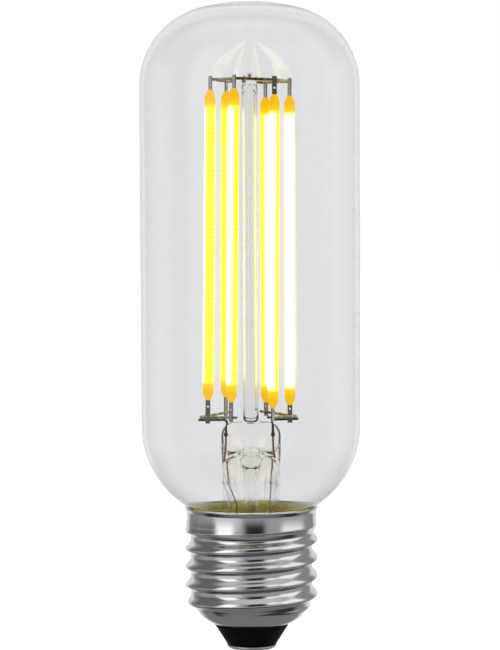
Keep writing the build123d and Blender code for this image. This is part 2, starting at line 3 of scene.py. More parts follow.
import bpy
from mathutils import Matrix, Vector


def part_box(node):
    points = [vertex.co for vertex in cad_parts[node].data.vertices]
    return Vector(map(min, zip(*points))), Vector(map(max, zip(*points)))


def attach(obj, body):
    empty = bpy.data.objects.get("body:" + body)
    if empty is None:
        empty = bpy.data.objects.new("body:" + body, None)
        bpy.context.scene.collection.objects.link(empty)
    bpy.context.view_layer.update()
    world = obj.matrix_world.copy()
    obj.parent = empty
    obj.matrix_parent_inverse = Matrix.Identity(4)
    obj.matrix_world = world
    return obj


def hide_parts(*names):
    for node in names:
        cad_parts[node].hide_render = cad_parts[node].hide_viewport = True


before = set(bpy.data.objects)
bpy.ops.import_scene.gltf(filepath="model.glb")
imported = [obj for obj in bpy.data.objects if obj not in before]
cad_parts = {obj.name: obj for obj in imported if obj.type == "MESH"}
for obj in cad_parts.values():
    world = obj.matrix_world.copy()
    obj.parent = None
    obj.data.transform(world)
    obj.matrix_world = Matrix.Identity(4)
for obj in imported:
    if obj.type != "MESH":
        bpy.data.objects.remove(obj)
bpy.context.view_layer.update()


# Glass stem. A trumpet-ended tube, squeezed flat round its wires while it was soft.
# The exhaust tube is fused in below, and a long tube above carries the top ring.
# It is one piece of clear glass, welded at its rim to the envelope's neck.
mm = 0.001


def measured(node):
    """Low and high corner of a CAD piece's box, in mm."""
    return [Vector(corner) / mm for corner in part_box(node)]


stem_low, stem_high = measured("glass_stem")
exhaust_tip = stem_low.z
stem_tip = stem_high.z
neck_radius = stem_high.x
exhaust_drop = 2.5
neck_end = exhaust_tip + exhaust_drop
glass_wall = 1.0
flare_radius = 5.75
flare_wall = 0.6
flare_bend = 6.0
press_top = 45.3
press_height = 8.7
press_base = press_top - press_height
press_wide = 5.9
press_deep = 2.3
press_shoulder = 2.6
shoulder_thinning = 0.25
shoulder_start = 12
shoulder_end = 84
cavity_rise = 2.2
cavity_top = press_base + cavity_rise
tube_radius = 1.55
tube_fillet = 1.0
tube_tip_round = 0.9
exhaust_radius = 1.43
bowl_radius = 2.2


def arc(centre, radius, start, end, steps):
    """Points of an arc, as radius and height, between two angles in degrees."""
    points = []
    for step in range(steps + 1):
        angle = radians(start + (end - start) * step / steps)
        points.append((centre[0] + radius * cos(angle), centre[1] + radius * sin(angle)))
    return points


def stretch(start, end, steps):
    """Points of a straight run, both ends left out."""
    shares = [step / steps for step in range(1, steps)]
    return [tuple(a + (b - a) * share for a, b in zip(start, end)) for share in shares]


def turned(profile):
    """Round rings from points of radius and height."""
    return [(height, radius, radius) for radius, height in profile]


# The skin runs up the exhaust tube and its bowl, over the cavity round them, down inside
# the flare, round the rim, and up outside over the press and the tube to the tip. A round
# stretch is points of radius and height, an oval one rings of height, half width, half depth.
exhaust = [
    (0, exhaust_tip),
    (0.35 * exhaust_radius, exhaust_tip + 0.05),
    (0.8 * exhaust_radius, exhaust_tip + 0.4),
    (exhaust_radius, exhaust_tip + 1.0),
    (exhaust_radius, press_base - 1.4),
]
bowl = [
    (bowl_radius - 0.65, press_base - 0.9),
    (bowl_radius - 0.35, press_base - 0.3),
    (bowl_radius, press_base + 0.5),
    (bowl_radius + 0.05, press_base + 1.2),
]
cavity = [
    (cavity_top - 0.35, 2.5, 2.0),
    (cavity_top, 3.1, 2.15),
    (cavity_top - 0.25, 3.9, 2.4),
    (cavity_top - 0.9, 4.6, 2.8),
    (press_base + 0.6, 4.95, 3.9),
    (press_base - 0.6, 5.12, 4.9),
]
flare_turn = degrees(acos((flare_radius + flare_bend - neck_radius + glass_wall) / flare_bend))
flare_bend_z = neck_end + flare_bend * sin(radians(flare_turn))
bend_centre = (flare_radius + flare_bend, flare_bend_z)
flare_inside = arc(bend_centre, flare_bend + flare_wall, 180, 180 + flare_turn, steps=14)
flare_outside = arc(bend_centre, flare_bend, 180 + flare_turn, 180, steps=14)
flare = [(flare_radius - flare_wall, press_base - 2.0)] + flare_inside
flare += [(neck_radius, flare_inside[-1][1]), (neck_radius, neck_end)] + flare_outside
shoulder_foot = press_top - press_shoulder
flanks = [
    (press_base - 1.5, flare_radius, flare_radius),
    (press_base - 0.5, flare_radius + 0.02, 5.5),
    (press_base + 0.6, flare_radius + 0.06, 4.9),
    (press_base + 2.0, flare_radius + 0.1, 3.9),
    (press_base + 3.2, press_wide, 3.0),
    (press_base + 4.4, press_wide, 2.45),
    (shoulder_foot, press_wide, press_deep),
]
shoulder_centre = (press_wide - press_shoulder, shoulder_foot)
for radius, height in arc(shoulder_centre, press_shoulder, shoulder_start, shoulder_end, steps=8):
    thinned = shoulder_thinning * (height - shoulder_foot) / press_shoulder
    flanks.append((height, radius, press_deep - thinned))
fillet = [
    (press_top, 2.7, 1.9),
    (press_top + 0.12, 1.95, 1.75),
    (press_top + 0.5, tube_radius + 0.05, tube_radius + 0.03),
]
tube_foot = (tube_radius, press_top + tube_fillet)
tube_end = (tube_radius, stem_tip - tube_tip_round)
tube = [tube_foot] + stretch(tube_foot, tube_end, steps=24)
tube += arc((tube_radius - tube_tip_round, stem_tip - tube_tip_round), tube_tip_round, 0, 90, steps=6)
tube += [(0, stem_tip)]
stem_skin = turned(exhaust + bowl) + cavity + turned(flare) + flanks + fillet + turned(tube)

# Two rooms lie in the glass: the tube's bore, closed at both ends, and the exhaust tube's
# bore, which is sealed at its tip and widens to a cup in the press.
tube_bore = 1.2
tip_seal = 2.2
bore_edge = 0.25
bore_top = stem_tip - tip_seal
bore_foot = press_top - 0.4
bore_bend_z = bore_foot + 0.5
tube_room = [(0, bore_top), (tube_bore - bore_edge, bore_top), (tube_bore, bore_top - bore_edge)]
tube_room += stretch((tube_bore, bore_top - bore_edge), (tube_bore, bore_bend_z), steps=24)
tube_room += [(tube_bore, bore_bend_z), (tube_bore - 0.3, bore_foot + 0.1), (0, bore_foot)]
exhaust_bore = 0.8
exhaust_seal = 1.0
exhaust_foot = exhaust_tip + exhaust_seal
cup_radius = 1.85
cup_edge = 0.2
cup_bend = 1.6
cup_bend_z = press_base + 1.3
cup_top = cavity_top + 1.4
exhaust_room = [(0, cup_top), (cup_radius - cup_edge, cup_top), (cup_radius, cup_top - cup_edge)]
exhaust_room += arc((cup_radius - cup_bend, cup_bend_z), cup_bend, 0, -70, steps=6)
exhaust_room += [(exhaust_bore, press_base - 0.8), (exhaust_bore, exhaust_foot + 0.4)]
exhaust_room += [(exhaust_bore - 0.3, exhaust_foot), (0, exhaust_foot)]


class Link:
    """Output of a node. Arithmetic on it adds Math nodes to its tree."""

    def __init__(self, tree, socket):
        self.tree = tree
        self.socket = socket

    def maths(self, operation, *others):
        return self.tree.node("ShaderNodeMath", {"operation": operation}, dict(enumerate((self, *others))))

    def swapped(self, operation, other):
        return self.tree.node("ShaderNodeMath", {"operation": operation}, {0: other, 1: self})

    def __add__(self, other):
        return self.maths("ADD", other)

    def __radd__(self, other):
        return self.swapped("ADD", other)

    def __sub__(self, other):
        return self.maths("SUBTRACT", other)

    def __rsub__(self, other):
        return self.swapped("SUBTRACT", other)

    def __mul__(self, other):
        return self.maths("MULTIPLY", other)

    def __rmul__(self, other):
        return self.swapped("MULTIPLY", other)

    def __truediv__(self, other):
        return self.maths("DIVIDE", other)

    def __rtruediv__(self, other):
        return self.swapped("DIVIDE", other)

    def __abs__(self):
        return self.maths("ABSOLUTE")

    def between(self, low, high):
        """0 below low, 1 above high, with a soft step from one to the other."""
        values = {"Value": self, "From Min": low, "From Max": high}
        return self.tree.node("ShaderNodeMapRange", {"interpolation_type": "SMOOTHSTEP"}, values)


class Tree:
    """A node tree, filled by one method."""

    def __init__(self, tree):
        self.tree = tree

    def feed(self, socket, value):
        """Links an input to a node's output, or gives it a plain value."""
        if isinstance(value, Link):
            self.tree.links.new(value.socket, socket)
        else:
            socket.default_value = value

    def node(self, kind, settings, sockets, output=0):
        """Adds a node with its settings, then its values and links; gives one output."""
        made = self.tree.nodes.new(kind)
        for name, value in settings.items():
            setattr(made, name, value)
        for name, value in sockets.items():
            self.feed(made.inputs[name], value)
        return Link(self, made.outputs[output])

    def split(self, vector):
        """The three parts of a vector."""
        made = self.node("ShaderNodeSeparateXYZ", {}, {"Vector": vector})
        return [Link(self, part) for part in made.socket.node.outputs]

    def mixed(self, factor, first, second):
        """Colour between two colours, by the colour sockets of a Mix node."""
        first_colour = 6
        second_colour = 7
        mixed_colour = 2
        sockets = {0: factor, first_colour: first, second_colour: second}
        return self.node("ShaderNodeMix", {"data_type": "RGBA"}, sockets, mixed_colour)


class Finish(Tree):
    """A material around one Principled shader."""

    def __init__(self, name):
        self.material = bpy.data.materials.new(name)
        self.material.use_nodes = True
        super().__init__(self.material.node_tree)

    def place(self):
        return self.node("ShaderNodeTexCoord", {}, {}, "Object")

    def grain(self, scale, squeeze=(1.0, 1.0, 1.0)):
        """Noise from 0 to 1 over the object, in cycles to the metre."""
        squeezed = self.node("ShaderNodeMapping", {}, {"Vector": self.place(), "Scale": squeeze})
        return self.node("ShaderNodeTexNoise", {}, {"Vector": squeezed, "Scale": scale, "Detail": 3.0})

    def surface(self, **values):
        """Sets the shader's sockets, named with underscores for spaces."""
        shader = self.tree.nodes["Principled BSDF"]
        for name, value in values.items():
            self.feed(shader.inputs[name.replace("_", " ")], value)


# The flare's thin wall is drawn fainter than the press above it.
clear = Finish("stem_clear_glass")
waves = clear.grain(160.0)
*_, stem_level = clear.split(clear.place())
faint = 0.2
faint_below = 31.0 * mm
full_above = 37.0 * mm
clear.surface(
    Base_Color=clear.mixed(waves, (0.98, 0.98, 0.965, 1), (1.0, 0.998, 0.985, 1)),
    Roughness=0.012 * waves,
    Alpha=faint + (1 - faint) * stem_level.between(faint_below, full_above),
    IOR=1.35,
    Specular_IOR_Level=0.2,
    Transmission_Weight=1.0,
)


def skinned(rings, around, closed=False):
    """Points and faces through level oval rings of (height, half width, half depth), in mm."""
    points = []
    starts = []
    for height, wide, deep in rings:
        starts.append(len(points))
        if wide == 0:
            points.append((0, 0, height * mm))
            continue
        for step in range(around):
            angle = 2 * pi * step / around
            points.append((wide * cos(angle) * mm, deep * sin(angle) * mm, height * mm))
    faces = []
    pairs = [(k, k + 1) for k in range(len(rings) - 1)]
    if closed:
        pairs.append((len(rings) - 1, 0))
    for low, high in pairs:
        a = starts[low]
        b = starts[high]
        for here in range(around):
            there = (here + 1) % around
            if rings[low][1] == 0:
                faces.append((a, b + there, b + here))
            elif rings[high][1] == 0:
                faces.append((a + here, a + there, b))
            else:
                faces.append((a + here, a + there, b + there, b + here))
    return points, faces


def piece(name, *skins, sharp=None):
    """One smooth-shaded object from skins, with edges past an angle in degrees kept sharp."""
    points = []
    faces = []
    for skin_points, skin_faces in skins:
        faces += [tuple(corner + len(points) for corner in face) for face in skin_faces]
        points += skin_points
    data = bpy.data.meshes.new(name)
    data.from_pydata(points, [], faces)
    data.shade_smooth()
    if sharp:
        data.set_sharp_from_angle(angle=radians(sharp))
    made = bpy.data.objects.new(name, data)
    bpy.context.collection.objects.link(made)
    return made


def fitted(made, slot, material, *nodes):
    """Gives a piece its material and puts it in the frame in place of CAD nodes."""
    made.data.materials.clear()
    made.data.materials.append(material)
    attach(made, "root")
    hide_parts(*nodes)


rooms = [skinned(turned(room), around=48) for room in (tube_room, exhaust_room)]
stem = piece("stem_glass", skinned(stem_skin, around=96), *rooms)
fitted(stem, "stem_glass", clear.material, "glass_stem")


# Lead wires. Each is three wires butt welded end to end: a steel wire inside the lamp,
# a copper clad one that the glass wets in the press, and a thin tail down into the cap.
def painted(material, *nodes):
    """Gives CAD nodes that are shown as they are their material."""
    for name in nodes:
        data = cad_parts[name].data
        data.materials.clear()
        data.materials.append(material)


def flecked(name, scale, dark, light, roughness, spread, squeeze=(1.0, 1.0, 1.0), **values):
    """Material whose grain moves both its colour and its roughness."""
    finish = Finish(name)
    fleck = finish.grain(scale, squeeze)
    finish.surface(
        Base_Color=finish.mixed(fleck, dark, light),
        Roughness=roughness + spread * fleck,
        **values,
    )
    return finish.material


lead_steel = flecked(
    "drawn_lead_steel",
    scale=2500.0,
    dark=(0.1, 0.095, 0.09, 1),
    light=(0.26, 0.24, 0.22, 1),
    roughness=0.3,
    spread=0.25,
    Metallic=1.0,
)
painted(lead_steel, "left_inner_lead", "right_inner_lead", "left_outer_lead", "right_outer_lead")

seal_copper = flecked(
    "copper_clad_wire",
    scale=1800.0,
    dark=(0.45, 0.12, 0.05, 1),
    light=(0.72, 0.3, 0.16, 1),
    roughness=0.45,
    spread=0.2,
    Metallic=0.6,
)
painted(seal_copper, "left_seal_wire", "right_seal_wire")


# Frame wires. An open six-sided ring at the top, held by an anchor stuck in the stem's
# tip, and two V brackets on the leads' arms below. The weld heat has tinted them brown.
tinted = Finish("heat_tinted_wire")
heat = tinted.grain(1400.0)
tinted.surface(
    Base_Color=tinted.mixed(heat.between(0.35, 0.65), (0.3, 0.2, 0.11, 1), (0.85, 0.7, 0.5, 1)),
    Metallic=1.0,
    Roughness=0.28 + 0.2 * heat,
)
painted(tinted.material, "top_ring_wire", "top_anchor_wire", "left_bracket_wire", "right_bracket_wire")


# End strips. Thin nickel plated strips, each with a small hole, moulded into the
# filaments' ends and spot welded to the frame wires.
filament_count = 6
strip_nickel = flecked(
    "strip_nickel",
    scale=900.0,
    squeeze=(3.0, 3.0, 0.4),
    dark=(0.55, 0.52, 0.47, 1),
    light=(0.85, 0.81, 0.75, 1),
    roughness=0.3,
    spread=0.2,
    Metallic=1.0,
)
for number in range(1, filament_count + 1):
    painted(strip_nickel, f"filament_top_tab_{number}", f"filament_bottom_tab_{number}")


# Filaments. A row of blue chips on a thin carrier, coated all round with silicone that
# holds yellow phosphor. The chips' side shines white, the back glows yellow through the
# carrier in bands, and the ends past the last chip stay amber.
filament_radius = 1.075 * mm
end_round = 1.9 * mm
end_length = 1.5 * mm
end_girth = 0.45
glow_from = 1.6 * mm
glow_full = 4.0 * mm
lit_from = 3.0 * mm
lit_full = 4.4 * mm
chip_pitch = 0.82 * mm
# The side that each filament's chips face, in degrees anticlockwise from the lamp's right.
chip_bearings = [268, 325, 350, 160, 205, 222]

phosphor = Finish("phosphor_silicone")
reach = phosphor.node("ShaderNodeAttribute", {"attribute_name": "reach"}, {}, "Fac")
facing = phosphor.node("ShaderNodeAttribute", {"attribute_name": "facing"}, {}, "Fac")
lit = reach.between(lit_from, lit_full)
glow = reach.between(glow_from, glow_full)
chips = 0.5 + 0.5 * (reach * (2 * pi / chip_pitch)).maths("COSINE")
core = facing.between(0.05, 0.85)
dim_gold = phosphor.mixed(chips, (0.64, 0.58, 0.0, 1), (0.7, 0.66, 0.06, 1))
shine = phosphor.mixed(core, dim_gold, (1.0, 0.95, 0.72, 1))
amber = phosphor.mixed(glow, (0.28, 0.16, 0.0, 1), (0.45, 0.33, 0.0, 1))
phosphor.surface(
    Base_Color=phosphor.mixed(lit, (0.6, 0.32, 0.0, 1), (0.5, 0.36, 0.0, 1)),
    Roughness=0.42 + 0.1 * phosphor.grain(1500.0),
    Emission_Color=phosphor.mixed(lit, amber, shine),
    Emission_Strength=2.0,
    Specular_IOR_Level=0.08,
)


class Shape(Tree):
    """A geometry tree with named inputs."""

    def __init__(self, name, **inputs):
        super().__init__(bpy.data.node_groups.new(name, "GeometryNodeTree"))
        face = self.tree.interface
        face.new_socket("Geometry", in_out="INPUT", socket_type="NodeSocketGeometry")
        for label, kind in inputs.items():
            face.new_socket(label, in_out="INPUT", socket_type=f"NodeSocket{kind}")
        face.new_socket("Geometry", in_out="OUTPUT", socket_type="NodeSocketGeometry")
        self.entry = self.tree.nodes.new("NodeGroupInput")

    def given(self, label):
        return Link(self, self.entry.outputs[label])

    def stored(self, geometry, label, value):
        """Keeps a value on each point, for the material to read."""
        settings = {"data_type": "FLOAT", "domain": "POINT"}
        sockets = {"Geometry": geometry, "Name": label, "Value": value}
        return self.node("GeometryNodeStoreNamedAttribute", settings, sockets)

    def done(self, geometry, material):
        """Ends the tree in plain geometry with its material."""
        smooth = self.node("GeometryNodeSetShadeSmooth", {}, {"Geometry": geometry})
        plain = self.node("GeometryNodeRealizeInstances", {}, {"Geometry": smooth})
        dressed = self.node("GeometryNodeSetMaterial", {}, {"Geometry": plain, "Material": material})
        leave = self.tree.nodes.new("NodeGroupOutput")
        self.tree.links.new(dressed.socket, leave.inputs["Geometry"])


rod = Shape("filament_rod", Foot="Vector", Head="Vector", Radius="Float", Round="Float", Chips="Vector")
line = rod.node("GeometryNodeCurvePrimitiveLine", {}, {"Start": rod.given("Foot"), "End": rod.given("Head")})
line = rod.node("GeometryNodeResampleCurve", {}, {"Curve": line, "Count": 240})
along = rod.node("GeometryNodeSplineParameter", {}, {}, "Length")
whole = rod.node("GeometryNodeSplineLength", {}, {}, "Length")
end_gap = along.maths("MINIMUM", whole - along)
line = rod.stored(line, "reach", end_gap)
rounding = (end_gap / rod.given("Round")).maths("MINIMUM", 1.0)
girth = end_girth + (1 - end_girth) * (rounding * (pi / 2)).maths("SINE")
line = rod.node("GeometryNodeSetCurveRadius", {}, {"Curve": line, "Radius": rod.given("Radius") * girth})
sweep = {
    "Curve": line,
    "Profile Curve": rod.node("GeometryNodeCurvePrimitiveCircle", {}, {"Resolution": 24, "Radius": 1.0}),
    "Scale": rod.node("GeometryNodeInputRadius", {}, {}),
    "Fill Caps": True,
}
skin = rod.node("GeometryNodeCurveToMesh", {}, sweep)
normal = rod.node("GeometryNodeInputNormal", {}, {})
sides = {0: normal, 1: rod.given("Chips")}
towards = rod.node("ShaderNodeVectorMath", {"operation": "DOT_PRODUCT"}, sides, "Value")
rod.done(rod.stored(skin, "facing", towards), phosphor.material)


def grown(name, tree, base=None, **values):
    """Plain mesh object that a geometry tree makes, with its named inputs set."""
    data = base or bpy.data.meshes.new(name)
    made = bpy.data.objects.new(name, data)
    bpy.context.collection.objects.link(made)
    modifier = made.modifiers.new("shape", "NODES")
    modifier.node_group = tree.tree
    for item in tree.tree.interface.items_tree:
        if item.in_out == "INPUT" and item.name in values:
            modifier[item.identifier] = values[item.name]
    shaped = made.evaluated_get(bpy.context.evaluated_depsgraph_get())
    made.data = bpy.data.meshes.new_from_object(shaped)
    made.modifiers.clear()
    return made


def end_middle(corners, height):
    """Middle of a filament's end at a height, from its solid's corners near there."""
    near = [corner for corner in corners if abs(corner.z - height) < end_length]
    x = (min(corner.x for corner in near) + max(corner.x for corner in near)) / 2
    y = (min(corner.y for corner in near) + max(corner.y for corner in near)) / 2
    return Vector((x, y, height))


for number, chip_bearing in enumerate(chip_bearings, start=1):
    node = f"led_filament_{number}"
    low, high = map(Vector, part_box(node))
    corners = [vertex.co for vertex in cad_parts[node].data.vertices]
    filament = grown(
        f"filament_{number}",
        rod,
        Foot=end_middle(corners, low.z),
        Head=end_middle(corners, high.z),
        Radius=filament_radius,
        Round=end_round,
        Chips=Vector((cos(radians(chip_bearing)), sin(radians(chip_bearing)), 0)),
    )
    fitted(filament, "filament_silicone", phosphor.material, node)


# Envelope. Soda-lime tube, blown to a dished end and drawn in to a neck, clear and
# thin. The stem's rim is welded into the neck, and the cap is cemented round it.
_, envelope_high = measured("glass_envelope")
lamp_top = envelope_high.z
glass_radius = envelope_high.x
crown_radius = 39.5
knuckle_radius = 15.8
shoulder_radius = 18.7
shoulder_steps = 24
neck_bend = 3.0
neck_bend_z = 25.9
drawn_wall = 0.6
shoulder_place = glass_radius - shoulder_radius
neck_bend_place = neck_radius + neck_bend
shoulder_drop = sqrt((shoulder_radius + neck_bend) ** 2 - (neck_bend_place - shoulder_place) ** 2)
shoulder_z = neck_bend_z + shoulder_drop
knuckle_place = glass_radius - knuckle_radius
crown_z = lamp_top - crown_radius
knuckle_z = crown_z + sqrt((crown_radius - knuckle_radius) ** 2 - knuckle_place**2)
shoulder_turn = degrees(atan2(shoulder_drop, neck_bend_place - shoulder_place))
crown_turn = degrees(atan2(knuckle_z - crown_z, knuckle_place))


def glass_line(inset, drawn):
    """The outline from neck to crown, moved in by an inset, or by drawn at the neck's bend."""
    radius = glass_radius - inset
    points = [(neck_radius - inset, neck_end)]
    points += arc((neck_bend_place, neck_bend_z), neck_bend + drawn, 180, 180 - shoulder_turn, steps=16)
    for step in range(1, shoulder_steps + 1):
        share = step / shoulder_steps
        angle = radians(-shoulder_turn * (1 - share))
        spoke = shoulder_radius - drawn - (inset - drawn) * share
        points.append((shoulder_place + spoke * cos(angle), shoulder_z + spoke * sin(angle)))
    points += stretch((radius, shoulder_z), (radius, knuckle_z), steps=24)
    points += arc((knuckle_place, knuckle_z), knuckle_radius - inset, 0, crown_turn, steps=24)
    points += arc((0, crown_z), crown_radius - inset, crown_turn, 90, steps=16)[1:-1]
    return points + [(0, lamp_top - inset)]


blown = Finish("envelope_clear_glass")
ripple = blown.grain(60.0)
blown.surface(
    Base_Color=blown.mixed(ripple, (0.9, 0.905, 0.91, 1), (0.92, 0.925, 0.93, 1)),
    Roughness=0.01 * ripple,
    IOR=1.5,
    Specular_IOR_Level=0.1,
    Transmission_Weight=1.0,
)
wall = glass_line(glass_wall, drawn_wall)[::-1] + glass_line(0, 0)
envelope = piece("envelope_glass", skinned(turned(wall), around=160))
fitted(envelope, "envelope_glass", blown.material, "glass_envelope")


# Driver. A round board in the cap with a bridge, a driver chip, a smoothing capacitor
# and a fuse on their leads; one wire goes to the shell and one to the centre contact.
board_green = flecked(
    "green_laminate",
    scale=700.0,
    dark=(0.06, 0.24, 0.11, 1),
    light=(0.12, 0.36, 0.18, 1),
    roughness=0.45,
    spread=0.1,
)
painted(board_green, "driver_board")

capacitor_sleeve = flecked(
    "shrunk_sleeve",
    scale=400.0,
    dark=(0.03, 0.03, 0.04, 1),
    light=(0.08, 0.08, 0.1, 1),
    roughness=0.25,
    spread=0.15,
)
painted(capacitor_sleeve, "smoothing_capacitor")

chip_epoxy = flecked(
    "moulded_epoxy",
    scale=3000.0,
    dark=(0.02, 0.02, 0.02, 1),
    light=(0.06, 0.06, 0.06, 1),
    roughness=0.6,
    spread=0.2,
)
painted(chip_epoxy, "bridge_rectifier", "driver_chip")

fuse_lacquer = flecked(
    "fuse_lacquer",
    scale=500.0,
    dark=(0.26, 0.42, 0.34, 1),
    light=(0.4, 0.56, 0.46, 1),
    roughness=0.35,
    spread=0.15,
)
painted(fuse_lacquer, "fuse_resistor")
painted(lead_steel, "neutral_wire")


# Screw shell. Thin brass sheet, drawn to a cup, rolled to a right-hand round thread
# with a plain band and a small turned-out lip above it, then nickel plated.
shell_low, shell_high = measured("screw_shell")
rim = shell_high.z
hem_z = shell_low.z
sheet = 0.3
hem_radius = 7.55
hem_angle = 20.0
lip_reach = 0.42
lip_height = 0.8
lip_bend = 0.4
band_radius = shell_high.x - lip_reach
band_height = 4.9
band_z = rim - band_height
band_below_crest = 0.3
band_bend = 20.0
thread_pitch = 3.629
thread_depth = 1.1
thread_foot = hem_z + 2.2
thread_run_in = 1.6
thread_run_out = 2.6
crest_z = band_z - 1.3
root_radius = band_radius + band_below_crest - thread_depth
root_bend = 5.0
groove_top = band_z + 1.8
flank_foot = groove_top - 1.7
flank_top = groove_top + 0.95
taper_bend = (root_radius - hem_radius) / (1 - sin(radians(hem_angle)))
taper_z = hem_z + taper_bend * cos(radians(hem_angle))


def rounded(corners, bends, steps):
    """Open outline through corners, with an arc of the given radius at each inner one."""
    points = [corners[0]]
    for before, corner, after, bend in zip(corners, corners[1:], corners[2:], bends):
        at = Vector(corner)
        back = (Vector(before) - at).normalized()
        ahead = (Vector(after) - at).normalized()
        half = back.angle(ahead) / 2
        centre = at + (back + ahead).normalized() * (bend / sin(half))
        start = at + back * (bend / (sin(half) / cos(half)))
        end = at + ahead * (bend / (sin(half) / cos(half)))
        first = start - centre
        last = end - centre
        for step in range(steps + 1):
            spoke = first.lerp(last, step / steps).normalized() * bend
            points.append(tuple(centre + spoke))
    return points + [corners[-1]]


def divided(points, longest):
    """The same outline with no stretch longer than a length."""
    fine = [points[0]]
    for before, after in zip(points, points[1:]):
        steps = int(hypot(after[0] - before[0], after[1] - before[1]) / longest) + 1
        fine += stretch(before, after, steps) + [after]
    return fine


def shell_line(inset):
    """The sheet's outline before rolling, from its hem up to its lip, moved in by an inset."""
    taper = arc((root_radius - taper_bend, taper_z), taper_bend - inset, hem_angle - 90, 0, steps=40)
    groove = root_radius - inset
    band = band_radius - thread_depth - inset
    corners = [
        (groove, taper_z),
        (groove, flank_foot),
        (band, flank_top),
        (band, rim - lip_height),
        (band + lip_reach, rim),
    ]
    bends = [root_bend, band_bend, lip_bend]
    return divided(taper[:-1] + rounded(corners, bends, steps=12), longest=0.15)


# Rolling pushes the sheet out by the thread's depth at the crests and all through the band.
# A crest has a steep flank below it and a long one above, as shares of the pitch.
roll = Shape(
    "rolled_thread",
    Pitch="Float",
    Depth="Float",
    Crest="Float",
    Foot="Float",
    Run_In="Float",
    Top="Float",
    Run_Out="Float",
)
share_at_crest = 0.48
x, y, z = roll.split(roll.node("GeometryNodeInputPosition", {}, {}))
turns = y.maths("ARCTAN2", x) / (2 * pi)
climb = (z - roll.given("Crest")) / roll.given("Pitch") - turns
pitch_share = (climb + share_at_crest).maths("FRACT")
lower_flank = pitch_share.between(0.12, 0.36)
upper_flank = pitch_share.between(0.42, 0.94)
ridge = lower_flank - upper_flank
fade_in = ((z - roll.given("Foot")) / roll.given("Run_In")).between(0.0, 1.0)
fade_out = ((roll.given("Top") - z) / roll.given("Run_Out")).between(0.0, 1.0)
swell = roll.given("Depth") * fade_in * (1.0 - (1.0 - ridge) * fade_out)
distance = (x * x + y * y).maths("SQRT")
outward = roll.node("ShaderNodeCombineXYZ", {}, {"X": x / distance * swell, "Y": y / distance * swell})
moved = roll.node("GeometryNodeSetPosition", {}, {"Geometry": roll.given("Geometry"), "Offset": outward})

nickel = Finish("bright_nickel")
drawing = nickel.grain(300.0, squeeze=(1.0, 1.0, 6.0))
wear = nickel.grain(90.0)
nickel.surface(
    Base_Color=nickel.mixed(wear, (0.66, 0.66, 0.665, 1), (0.76, 0.76, 0.765, 1)),
    Metallic=1.0,
    Roughness=0.1 + 0.06 * drawing,
)
roll.done(moved, nickel.material)
plain_sheet = shell_line(0) + shell_line(sheet)[::-1]
blank = piece("shell_blank", skinned(turned(plain_sheet), around=200, closed=True))
shell = grown(
    "rolled_shell",
    roll,
    base=blank.data,
    Pitch=thread_pitch * mm,
    Depth=thread_depth * mm,
    Crest=crest_z * mm,
    Foot=thread_foot * mm,
    Run_In=thread_run_in * mm,
    Top=groove_top * mm,
    Run_Out=thread_run_out * mm,
)
bpy.data.objects.remove(blank)
fitted(shell, "cap_nickel", nickel.material, "screw_shell")


# Insulator and contact. Black glass is moulded into the foot of the shell, and a plated
# button with the live lead soldered through it is pressed on underneath.
_, insulator_high = measured("cap_insulator")
_, contact_high = measured("centre_contact")
lead_hole = 0.6
cone_foot = contact_high.z
cone_top = hem_z - 0.05
cone_radius = hem_radius - 0.1
seat_edge = 0.15
foot_edge = 0.12
throat_radius = hem_radius - 0.35
throat_top = cone_top + 0.3
throat_flare = 0.1
crown_height = 1.0
cone = [
    (lead_hole, insulator_high.z),
    (lead_hole, cone_foot),
    (contact_high.x - seat_edge, cone_foot),
    (contact_high.x, cone_foot + foot_edge),
    (cone_radius, cone_top - seat_edge),
    (cone_radius, cone_top),
    (throat_radius, cone_top),
    (throat_radius + throat_flare, throat_top),
    (insulator_high.x, insulator_high.z - crown_height),
    (insulator_high.x, insulator_high.z),
]
insulator_black = flecked(
    "black_glass",
    scale=800.0,
    dark=(0.001, 0.001, 0.001, 1),
    light=(0.004, 0.004, 0.004, 1),
    roughness=0.4,
    spread=0.2,
    Specular_IOR_Level=0.06,
)
insulator = piece("insulator_cone", skinned(turned(cone), around=128, closed=True), sharp=25)
fitted(insulator, "black_glass", insulator_black, "cap_insulator")

contact_nickel = flecked(
    "contact_plate",
    scale=600.0,
    dark=(0.5, 0.49, 0.47, 1),
    light=(0.68, 0.67, 0.64, 1),
    roughness=0.22,
    spread=0.2,
    Metallic=1.0,
)
solder_dot = [(0, 0.0), (0.7, 0.0)]
pressed_ring = [(0.9, 0.08), (1.25, 0.1), (1.5, 0.0)]
flat_radius = 3.5
rounded_edge = [(flat_radius, 0.0), (4.2, 0.11), (4.65, 0.3), (contact_high.x, 0.55)]
button_back = [(contact_high.x, contact_high.z), (0, contact_high.z)]
button = solder_dot + pressed_ring + rounded_edge + button_back
contact = piece("contact_button", skinned(turned(button), around=96), sharp=30)
fitted(contact, "contact_nickel", contact_nickel, "centre_contact")


# Cement. Yellow-green resin putty that was pressed between the shell and the neck and
# baked hard. It ends just under the rim, and its far side shows through the glass.
cement_low, cement_high = measured("cap_cement")
clearance = 0.05
shell_gap = 0.25
narrow = root_radius - sheet - shell_gap
wide = cement_high.x
step_foot = groove_top - 0.8
step_top = groove_top + 0.4
edge_width = 0.2
edge_drop = 0.15
crumb_height = 0.1 * mm
putty = Finish("baked_putty")
lumps = putty.grain(420.0)
crumbs = putty.grain(1600.0)
putty.surface(
    Base_Color=putty.mixed(lumps.between(0.3, 0.7), (0.42, 0.38, 0.0, 1), (0.6, 0.53, 0.0, 1)),
    Roughness=0.6 + 0.2 * crumbs,
    Normal=putty.node("ShaderNodeBump", {}, {"Height": crumbs, "Distance": crumb_height, "Strength": 0.4}),
)
glass_face = glass_line(-clearance, -clearance)
neck_face = [(radius, z) for radius, z in glass_face if cement_low.z < z < cement_high.z]
